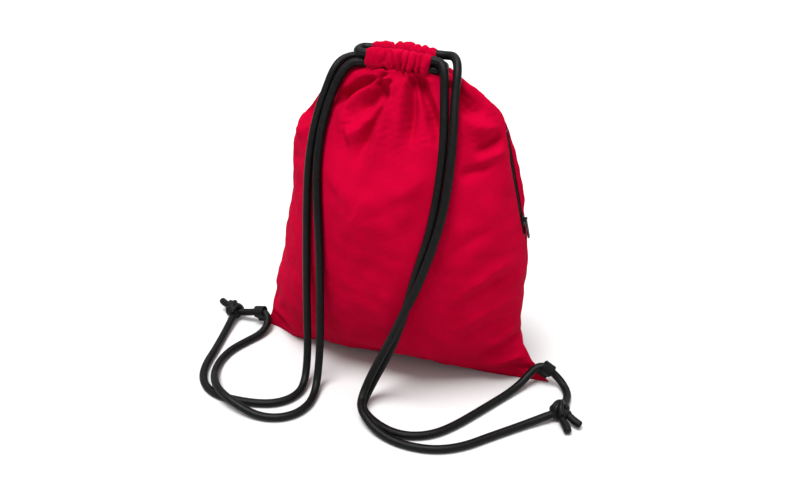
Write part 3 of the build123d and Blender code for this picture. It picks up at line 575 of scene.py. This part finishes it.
# folds of the far side
far_folds = [
    ([(-30, 336), (-44, 322), (-62, 306), (-78, 286)], -6.5, 5.0, 9.0, (0.05, 0.4)),
    ([(-20, 336), (-32, 318), (-44, 296), (-52, 268)], 4.6, 5.0, 10.0, (0.05, 0.45)),
    ([(-12, 336), (-18, 314), (-24, 288), (-26, 258)], -5.0, 4.5, 9.0, (0.05, 0.45)),
    ([(-4, 336), (-6, 312), (-6, 286), (0, 252)], 4.0, 4.5, 9.0, (0.05, 0.45)),
    ([(4, 336), (6, 316), (10, 292), (18, 262), (20, 238)], -5.5, 4.5, 9.0, (0.05, 0.45)),
    ([(12, 336), (18, 318), (28, 298), (38, 272)], 4.2, 4.5, 9.0, (0.05, 0.45)),
    ([(20, 336), (32, 320), (46, 302), (58, 280)], -5.5, 4.5, 9.0, (0.05, 0.45)),
    ([(32, 336), (48, 324), (66, 308), (82, 290)], 4.0, 5.0, 8.0, (0.05, 0.45)),
    ([(44, 334), (62, 322), (80, 308), (94, 296)], -4.0, 5.0, 7.0, (0.1, 0.4)),
    ([(-80, 262), (-50, 244), (-14, 236), (28, 240), (66, 256)], -3.0, 8.0, 9.0, (0.35, 0.35)),
    ([(-70, 250), (-40, 230), (-6, 222), (34, 226), (60, 238)], 2.8, 10.0, 10.0, (0.35, 0.35)),
    ([(-150, 22), (-128, 44), (-100, 62), (-70, 70)], -3.4, 5.0, 10.0, (0.2, 0.4)),
    ([(-148, 36), (-126, 64), (-98, 88)], 2.8, 5.0, 10.0, (0.2, 0.4)),
    ([(-152, 12), (-120, 22), (-84, 28)], 2.6, 4.0, 8.0, (0.2, 0.4)),
    ([(148, 18), (124, 38), (96, 54), (66, 60)], -3.4, 5.0, 10.0, (0.2, 0.4)),
    ([(140, 34), (120, 60), (98, 82)], 2.8, 5.0, 10.0, (0.2, 0.4)),
    ([(132, 92), (108, 102), (80, 104)], -2.0, 5.0, 8.0, (0.2, 0.4)),
    ([(-128, 140), (-104, 150), (-76, 154)], -1.8, 6.0, 9.0, (0.2, 0.4)),
    ([(-20, 30), (14, 24), (50, 26)], -1.6, 8.0, 10.0, (0.4, 0.4)),
]
# where the gathered cloth is pinched between two ruffles, -1 to 1 across the mouth
lobes = {-1: ([-1.0, -0.40, -0.17, 0.10, 0.29, 0.56, 0.74, 1.0], [1.7, 2.4, 3.7, 2.6, 3.5, 2.4, 2.6]),
         1: ([-1.0, -0.30, -0.08, 0.22, 0.42, 0.70, 1.0], [1.9, 2.6, 3.6, 2.6, 3.3, 2.2])}


def ruffle(t, side):
    """Height of the gathered ruffles across the mouth, pinched between lobes."""
    cuts, amps = lobes[side]
    out = np.zeros(np.shape(t))
    for a, b, h in zip(cuts[:-1], cuts[1:], amps):
        f = np.clip((t - a) / (b - a), 0, 1)
        out = np.maximum(out, np.where((t >= a) & (t <= b), h * np.sin(math.pi * f) ** 0.68, 0))
    return out


cord_points = np.vstack([resample(np.array(line) / MM, 1.5)[0] for _, line, _, _ in strands.values()])
cords_kd = KDTree(len(cord_points))
for k, at in enumerate(cord_points):
    cords_kd.insert(at, k)
cords_kd.balance()
zip_at = lambda z: 134.7 - 0.2261 * (z - 170.0)
zip_dir = unit(np.array([-0.2261, 0.0, 1.0]))
zip_out = np.array([zip_dir[2], 0.0, -zip_dir[0]])
shell = 0.9


def bag_points(t, z, side):
    """Undisplaced cloth at grid t, z."""
    cols = [monotone(z, levels[:, 0], levels[:, k]) for k in range(1, 7)]
    wl, wr, yf, yb, p, q = cols
    depth = yf if side < 0 else yb
    # wide enough for the slider all the way up, closing above it
    gap = (6.8 - 2.4 * step_up(z, 254.0, 270.0) if side < 0 else 3.9) * step_up(z, 168.0, 184.0) * (1 - step_up(z, 281.0, 297.0))
    t_end = (2 / math.pi) * np.arccos(np.clip((gap / depth) ** (1 / (2 * q)), 0, 1))
    t = np.where(t > 0, t * t_end, t)
    w = np.where(t < 0, wl, wr)
    a = np.abs(t) * math.pi / 2
    x = np.sign(t) * w * np.sin(a) ** (2 / p)
    y = side * depth * np.cos(a) ** (2 * q)
    return np.stack([x, y, z], -1)


def panel(name, side, folds, nt=281):
    zs = np.concatenate([np.linspace(0.0, 16, 12, endpoint=False), np.linspace(16, 270, 142, endpoint=False),
                         np.linspace(270, 338.6, 84)])
    t1 = np.linspace(-1, 1, nt)
    T, Z = np.meshgrid(t1, zs)
    P = bag_points(T, Z, side)
    dt = np.gradient(P, axis=1)
    dz = np.gradient(P, axis=0)
    N = unit(np.cross(dt, dz)) * (1 if side < 0 else -1)
    for _ in range(2):
        N[1:-1] = unit(N[:-2] + 2 * N[1:-1] + N[2:])
        N[:, 1:-1] = unit(N[:, :-2] + 2 * N[:, 1:-1] + N[:, 2:])
    x, z = P[..., 0], P[..., 2]
    D = np.zeros(x.shape)
    for line, amp, w0, w1, taper in folds:
        D += stroke(x, z, line, amp, w0 * (0.80 if line[0][1] > 290 else 1.0), taper, 1.6, w1 * (0.85 if line[0][1] > 290 else 1.0))
    D *= 1.3 + 1.45 * step_up(z, 235, 300)
    D = np.where(D < 0, -14.5 * np.tanh(-D / 14.5), 10.5 * np.tanh(D / 10.5))
    D *= 1 - 0.8 * step_up(z, 329, 336.5)
    if side < 0:
        D += stroke(x, z, broad_bend, 8.0, 27.0, (0.3, 0.3), 1.7)
        D -= 2.5 * np.exp(-((z - 88) / 34) ** 2) * np.cos(T * math.pi / 2) ** 2
        D += stroke(x, z, [(-70, 120), (-10, 118), (70, 122)], 2.0, 34.0, (0.4, 0.4), 1.8)
    top = step_up(z, 300, 335)
    tt = T * (1 + 0.22 * step_up(z, 316, 336)) + 0.035 * np.sin(z / 8.0) * (1 - step_up(z, 330, 337))
    D += (ruffle(tt, side) - 1.7) * 1.15 * top * (1 - np.abs(T) ** 8)
    D += 0.9 * np.sin(T * 23 + 0.9 * np.sin(z / 21.0)) * step_up(z, 276, 322) * (1 - 0.7 * step_up(z, 330, 337))
    D += 1.1 * waves(x, z * 0.7, 11 + side, 8, 46, 120)
    D += 0.5 * waves(x, z, 31 + side, 10, 15, 34)
    D += 0.22 * waves(x, z * 1.6, 71 + side, 12, 6, 13) * (0.35 + 0.65 * step_up(z, 230, 320))
    D += 0.8 * waves(x, z, 51 + side, 8, 18, 40) * np.exp(-((1 - np.abs(T)) / 0.16) ** 2)
    D *= 1 - np.abs(T) ** 14
    D *= 1 - 0.85 * np.exp(-((1 - T) / 0.07) ** 2) * step_up(z, 240, 262) * (1 - step_up(z, 292, 306))
    D *= step_up(z, 0.0, 16.0) * 0.9 + 0.1 * step_up(z, 0.0, 3.0)
    if side < 0:
        near = np.array([cords_kd.find(v)[2] for v in P.reshape(-1, 3)]).reshape(T.shape)
        D = np.where(D > 0, D * (0.10 + 0.90 * step_up(near, 6.0, 30.0)), D)
    P = P + N * D[..., None]
    # the cloth gives way under the cords that lie on it
    if side < 0:
        for _ in range(2):
            flat = P.reshape(-1, 3)
            near = np.array([cords_kd.find(v)[2] for v in flat]).reshape(T.shape)
            P = P - N * np.clip(5.9 - near, 0, 6.0)[..., None]
    # the side seams pucker a little, the same on both panels
    edge = np.abs(T) ** 10 * step_up(z, 10, 30) * (1 - step_up(z, 320, 334))
    still = np.where(T > 0, 1 - step_up(z, 164, 176) * (1 - step_up(z, 288, 300)), 1.0)
    P[..., 0] += np.sign(T) * edge * still * 0.8 * np.sin(z / 4.6 + np.sin(z / 13.0)) * np.sin(z / 31.0)
    P[..., 2] = np.maximum(P[..., 2], 0.15)

    low = 1 - step_up(z, 8, 52)
    if side < 0:
        P[..., 1] += (12.5 * np.exp(-((x - 24) / 50) ** 2) - 10.5 * np.exp(-((x + 122) / 24) ** 2)) * low
    else:
        P[..., 0] += 4.2 * np.exp(-((1 - T) / 0.20) ** 2) * (1 - np.exp(-((1 - T) / 0.035) ** 2)) * step_up(z, 180, 225) * (1 - step_up(z, 255, 292))

    # the cloth under the bag, from the bottom seam out to the first ring
    ring = P[0].copy()
    strap = bag_points(t1, np.zeros(nt), -1)
    seam = np.stack([ring[:, 0], 0.35 * strap[:, 1], np.full(nt, 0.15)], -1)
    under = [seam + (ring - seam) * f for f in np.linspace(0, 1, 7)[:-1]]
    P = np.concatenate([np.stack(under), P], 0)
    dt = np.gradient(P, axis=1)
    dz = np.gradient(P, axis=0)
    N = np.cross(dt, dz)
    N = unit(N) * (1 if side < 0 else -1)
    N[:7] = (0, 0, -1.0)
    N[7:12] = unit(N[7:12] + N[6:11] * np.linspace(0.9, 0.1, 5)[:, None, None])
    inner = P - N * shell
    inner[..., 2] = np.maximum(inner[..., 2], 0.15 + shell * 0.6)
    rows = P.shape[0]
    arc = np.cumsum(np.r_[0, np.linalg.norm(np.diff(P[rows // 2], axis=0), axis=1)]) * MM
    rise = np.cumsum(np.r_[0, np.linalg.norm(np.diff(P[:, nt // 2], axis=0), axis=1)]) * MM
    U, V = np.meshgrid(arc, rise)
    uv = np.stack([U, V], -1).reshape(-1, 2)
    verts = np.vstack([P.reshape(-1, 3), inner.reshape(-1, 3)])
    off = rows * nt
    i = np.arange(rows - 1)[:, None] * nt
    j = np.arange(nt - 1)[None, :]
    a, b, c, d = i + j, i + j + 1, i + nt + j + 1, i + nt + j
    outer = np.stack([a, b, c, d], -1).reshape(-1, 4)
    if side > 0:
        outer = outer[:, ::-1]
    faces = outer.tolist() + (outer[:, ::-1] + off).tolist()
    rim = list(range(nt)) + [r * nt + nt - 1 for r in range(1, rows)]
    rim += [(rows - 1) * nt + c for c in range(nt - 2, -1, -1)] + [r * nt for r in range(rows - 2, 0, -1)]
    for k in range(len(rim)):
        e, f = rim[k], rim[(k + 1) % len(rim)]
        faces.append([e, e + off, f + off, f] if side < 0 else [f, f + off, e + off, e])
    ob = add_mesh(name, verts, faces, cotton, np.vstack([uv, uv]))
    return ob, P


back_cloth, back_P = panel("strap_side_cloth", -1, strap_folds)
front_cloth, front_P = panel("far_side_cloth", 1, far_folds)


# ------------------------------------------------------------------ casings
def casing(name, side, seed):
    """The drawn-up hem: a tube of cloth round both cords, ruffled along its length."""
    nx, na = 230, 72
    t = np.linspace(-1, 1, nx)
    th = np.linspace(0, 2 * math.pi, na, endpoint=False)
    T, A = np.meshgrid(t, th, indexing="ij")
    r = np.random.default_rng(seed)
    slant = 0.075 * np.sin(A + r.uniform(0, 6)) * np.sin(T * 4.2 + 1.0) + 0.035 * np.sin(2 * A + 5 * T) + 0.02 * np.sin(3 * A + 9 * T)
    h = ruffle(np.clip(T + slant * (1 - T ** 4), -1, 1), side)
    second = ruffle(np.clip(-T * 0.93 + 0.12 * np.sin(A * 1.0 + 4.0 * T), -1, 1), -side)
    h = 1.18 * h + 0.50 * second * step_up(T, -0.6, -0.2) - 0.55
    h -= 1.5 * np.exp(-((T + 0.36 + 0.05 * np.sin(A + 2.0)) / 0.045) ** 2)
    cy, cz, hy, hz = side * 9.2, 345.1, 5.55, 10.3
    ca, sa = np.cos(A), np.sin(A)
    sup = (np.abs(ca) ** 2.6 + np.abs(sa) ** 2.6) ** (-1 / 2.6)
    oy, oz = side * hy * ca * sup, hz * sa * sup
    away = step_up(side * oy / hy, -0.9, 0.6)          # the outer face swells, the inner one stays
    lift = 0.18 + 0.82 * away
    fine = 0.45 * waves(T * 34, A * 9, seed, 10, 4, 11)
    nrm = unit(np.stack([np.zeros_like(T), oy / hy ** 1.3, oz / hz ** 1.3 * 1.3], -1))
    push = h * lift * (0.95 + 0.2 * np.sin(A * 2 + T * 3)) + fine * (0.4 + 0.6 * lift) + 0.25
    pinch = np.exp(-((oz + 7.4) / 2.0) ** 2) * away    # drawn in along the row of stitches
    push = push - pinch * 1.9
    push = push * (1 - 0.35 * (np.abs(T) ** 12)) - 0.8 * np.abs(T) ** 16
    lean = 2.6 * np.sin(2.2 * T + 0.5) * np.exp(-((oz + 5.5) / 5.0) ** 2) * away
    P = np.stack([T * 32.5 + 2.0 - lean * (1 - T ** 2), cy + oy, cz + oz - 1.6 * step_up(T, -0.1, 1.0) * step_up(oz, -4, 8)], -1) + nrm * push[..., None]
    P[..., 0] += (1.5 * np.sin(A + seed) + 0.6 * np.sin(3 * A)) * T ** 4
    top_z = 357.2 - 1.2 * step_up(T, -0.3, 1.0)
    P[..., 2] = np.where(P[..., 2] > top_z - 2, top_z - 2 + 2.6 * np.tanh((P[..., 2] - top_z + 2) / 2.6), P[..., 2])
    N = unit(np.cross(np.gradient(P, axis=0), np.roll(P, -1, 1) - np.roll(P, 1, 1)))
    if (N[nx // 2, 0] @ np.array([0, side, 0])) < 0:
        N = -N
    inner = P - N * 0.8
    verts = np.vstack([P.reshape(-1, 3), inner.reshape(-1, 3)])
    off = nx * na
    faces = []
    for i in range(nx - 1):
        for j in range(na):
            k = (j + 1) % na
            q = [i * na + j, (i + 1) * na + j, (i + 1) * na + k, i * na + k]
            if side < 0:
                q = q[::-1]
            faces.append(q)
            faces.append([v + off for v in q[::-1]])
    for j in range(na):
        k = (j + 1) % na
        q = [j, k, k + off, j + off]
        w = [(nx - 1) * na + v for v in (k, j)] + [(nx - 1) * na + v + off for v in (j, k)]
        faces.append(q if side > 0 else q[::-1])
        faces.append(w if side > 0 else w[::-1])
    d = np.linalg.norm(np.diff(P[:, 0], axis=0), axis=1)
    U = np.r_[0, np.cumsum(d)][:, None] * np.ones(na)[None, :] * MM
    V = (A / (2 * math.pi)) * 0.066
    uv = np.stack([U, V], -1).reshape(-1, 2)
    ob = add_mesh(name, verts, faces, cotton, np.vstack([uv, uv]))
    # the row of stitches, on the pinched line of the outer face
    row = []
    for i in range(nx):
        k = np.argmin(np.abs(P[i, :, 2] - 337.9) + 50 * (side * (P[i, :, 1] - cy) < 0))
        row.append(P[i, k] + N[i, k] * 0.12)
    return ob, np.array(row)


def stitches(name, line, length, space, radius, mat, lift=0.0):
    p, s = resample(line, 0.4)
    parts, at = [], 0.6
    while at + length < s[-1]:
        ks = np.searchsorted(s, [at, at + length])
        seg = p[ks[0]:ks[1] + 1]
        if len(seg) > 3:
            parts.append(plain_tube(seg, radius, 6))
        at += length + space
    v, f = merged(parts)
    return add_mesh(name, v, f, mat)


back_hem, back_row = casing("strap_side_casing", -1, 5)
front_hem, front_row = casing("far_side_casing", 1, 9)
back_thread = stitches("strap_side_casing_thread", back_row, 2.6, 0.9, 0.28, thread_red)
front_thread = stitches("far_side_casing_thread", front_row, 2.6, 0.9, 0.28, thread_red)

for ob, n, slot in ((back_cloth, "back_panel", "cotton"), (front_cloth, "front_panel", "cotton"),
                    (back_hem, "back_casing", "cotton"), (front_hem, "front_casing", "cotton"),
                    (back_thread, "back_casing_stitching", "red_thread"), (front_thread, "front_casing_stitching", "red_thread")):
    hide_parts(n)
    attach(ob, "bag")


# ---------------------------------------------------------------------- zip
def zip_point(along, out, y):
    """A point near the zip: mm along it from height 170, outwards, and towards +Y."""
    base = np.array([zip_at(170.0), 0.0, 170.0])
    return base + zip_dir * along + zip_out * out + np.array([0.0, y, 0.0])


up = 1 / zip_dir[2]
for side, n in ((-1, "zip_coil_back"), (1, "zip_coil_front")):
    a0, a1, pitch = 8.2 * up, 114.8 * up, 1.55
    turns = (a1 - a0) / pitch
    f = np.linspace(0, turns, int(turns * 14))
    pts = [zip_point(a0 + pitch * (k + (0.25 if side > 0 else -0.25)) + 0.1, -1.65 + 0.50 * math.sin(2 * math.pi * k),
                     side * (1.12 - 0.68 * math.cos(2 * math.pi * k))) for k in f]
    v, fc = plain_tube(np.array(pts), 0.42, 7)
    ob = add_mesh(n + "_wire", v, fc, coil_mat)
    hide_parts(n)
    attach(ob, "bag")


for side, n in ((-1, "zip_tape_back"), (1, "zip_tape_front")):
    along = np.arange(2.0 * up, 117.5 * up, 0.34)
    across = np.linspace(0.0, 1.0, 30)
    A, C = np.meshgrid(along, across, indexing="ij")
    C = 0.75 + C * (7.6 - 2.8 * step_up(A / up, 80.0, 104.0) - 1.1 * step_up(A / up, 109.0, 118.0))
    rib = 0.09 * np.sin(2 * math.pi * C / 0.9) + 0.06 * np.sin(2 * math.pi * A / 1.1 + 2 * np.floor(C / 0.9))
    bow = -1.95 - 0.020 * C ** 2 - 0.8 * step_up(A / up, 90.0, 112.0)
    rows = []
    for lift in (0.30, -0.30):
        O = bow + lift + np.sign(lift) * rib
        rows.append((np.array([zip_at(170.0), 0.0, 170.0]) + A[..., None] * zip_dir + O[..., None] * zip_out
                     + (side * C)[..., None] * np.array([0.0, 1.0, 0.0])).reshape(-1, 3))
    na_, nc = A.shape
    faces = []
    for i in range(na_ - 1):
        for j in range(nc - 1):
            q = [i * nc + j, i * nc + j + 1, (i + 1) * nc + j + 1, (i + 1) * nc + j]
            faces.append(q if side < 0 else q[::-1])
            faces.append([v + na_ * nc for v in (q[::-1] if side < 0 else q)])
    rim = list(range(nc)) + [r * nc + nc - 1 for r in range(1, na_)] + [(na_ - 1) * nc + k for k in range(nc - 2, -1, -1)]
    rim += [r * nc for r in range(na_ - 2, 0, -1)]
    for k in range(len(rim)):
        e, f = rim[k], rim[(k + 1) % len(rim)]
        faces.append([f, e, e + na_ * nc, f + na_ * nc] if side < 0 else [e, f, f + na_ * nc, e + na_ * nc])
    ob = add_mesh(n + "_woven", np.vstack(rows), faces, tape_mat)
    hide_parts(n)
    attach(ob, "bag")


# --------------------------------------------------------------------- tabs
def tab(name, centre, along, leg):
    """A loop of ribbed webbing round the cord, its two legs sewn into the corner."""
    c = unit(along)
    leg = np.asarray(leg, float)
    t = unit(leg - c * leg.dot(c))
    b = np.cross(c, t)
    mid = [(13.0, 0.74), (9.6, 0.78), (7.4, 1.7), (4.6, 4.0)]
    mid += [(6.3 * math.cos(a), 6.3 * math.sin(a)) for a in np.linspace(math.radians(62), math.radians(298), 26)]
    mid += [(4.6, -4.0), (7.4, -1.7), (9.6, -0.78), (13.0, -0.74)]
    line = np.array([(p[0], p[1], 0.0) for p in mid])
    line, s = resample(line, 0.16)
    for _ in range(30):
        line[1:-1] = (line[:-2] + 2 * line[1:-1] + line[2:]) / 4
    tang = unit(np.gradient(line, axis=0))
    nrm = np.stack([tang[:, 1], -tang[:, 0], np.zeros(len(line))], -1)
    wide = np.linspace(-6.0, 6.0, 41)
    ribs = 0.11 * np.cos(2 * math.pi * s / 1.15)[:, None] * np.cos(2 * math.pi * wide / 2.0 * 0.5)[None, :] ** 2
    ribs = ribs + 0.10 * np.cos(2 * math.pi * s / 1.15 + math.pi)[:, None] * np.sin(math.pi * wide / 2.0)[None, :] ** 2
    edge = 0.10 * (np.abs(wide) > 5.4)[None, :] - 0.45 * (np.abs(wide) > 5.95)[None, :]
    half = 0.62 + ribs + edge

    def lay(sign):
        pts = line[:, None, :] + sign * nrm[:, None, :] * half[..., None]
        return (np.asarray(centre) + pts[..., 0:1] * t + pts[..., 1:2] * b + wide[None, :, None] * c)

    top, low = lay(1), lay(-1)
    n, m = top.shape[:2]
    verts = np.vstack([top.reshape(-1, 3), low.reshape(-1, 3)])
    off = n * m
    faces = []
    for i in range(n - 1):
        for j in range(m - 1):
            q = [i * m + j, i * m + j + 1, (i + 1) * m + j + 1, (i + 1) * m + j]
            faces.append(q)
            faces.append([v + off for v in q[::-1]])
    rim = list(range(m)) + [r * m + m - 1 for r in range(1, n)] + [(n - 1) * m + k for k in range(m - 2, -1, -1)]
    rim += [r * m for r in range(n - 2, 0, -1)]
    for k in range(len(rim)):
        e, f = rim[k], rim[(k + 1) % len(rim)]
        faces.append([f, e, e + off, f + off])
    ob = add_mesh(name, verts, faces, web_mat)
    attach(ob, "bag")
    return ob


left_web = tab("left_tab_webbing", (-175.6, -2.9, 16.3), (-0.98, 0.0, -0.20), (0.38, 0.12, -0.92))
right_web = tab("right_tab_webbing", (169.0, -3.3, 20.0), (0.84, 0.05, -0.54), (-0.57, 0.10, -0.82))
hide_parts("left_tab")
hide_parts("right_tab")

# ---------------------------------------------- finishes for the CAD's nodes
for n, mat in (("zip_bottom_stop", metal), ("zip_top_stop", metal),
               ("zip_slider", metal), ("zip_puller_pin", metal), ("zip_puller", metal), ("pocket_lining", lining),
               ("left_tab_stitching", thread_black), ("right_tab_stitching", thread_black)):
    for s in nodes[n].material_slots:
        s.material = mat

# ------------------------------------------------------------ floor, lights
floor_mat, ftree, fp = material("floor", (0.54, 0.54, 0.54), 0.8, spec=0.0)
v = [(-60000, -60000, 0), (60000, -60000, 0), (60000, 60000, 0), (-60000, 60000, 0)]
floor = add_mesh("floor", v, [[0, 1, 2, 3]], floor_mat, smooth=False)

world = bpy.data.worlds.new("studio")
scene.world = world
world.use_nodes = True
bg = world.node_tree.nodes["Background"]
bg.inputs["Color"].default_value = (1, 1, 1, 1)
bg.inputs["Strength"].default_value = 0.60


def sun(name, toward, watts, angle):
    d = bpy.data.lights.new(name, "SUN")
    d.energy = watts
    d.angle = math.radians(angle)
    ob = bpy.data.objects.new(name, d)
    scene.collection.objects.link(ob)
    ob.rotation_euler = (-Vector(toward)).to_track_quat("-Z", "Y").to_euler()
    return ob


sun("key", (-0.17, -0.40, 1.55), 4.75, 28.0)
sun("side", (1.0, -0.7, 1.2), 0.40, 50.0)
sun("rear", (0.0, 1.0, 1.5), 0.75, 55.0)
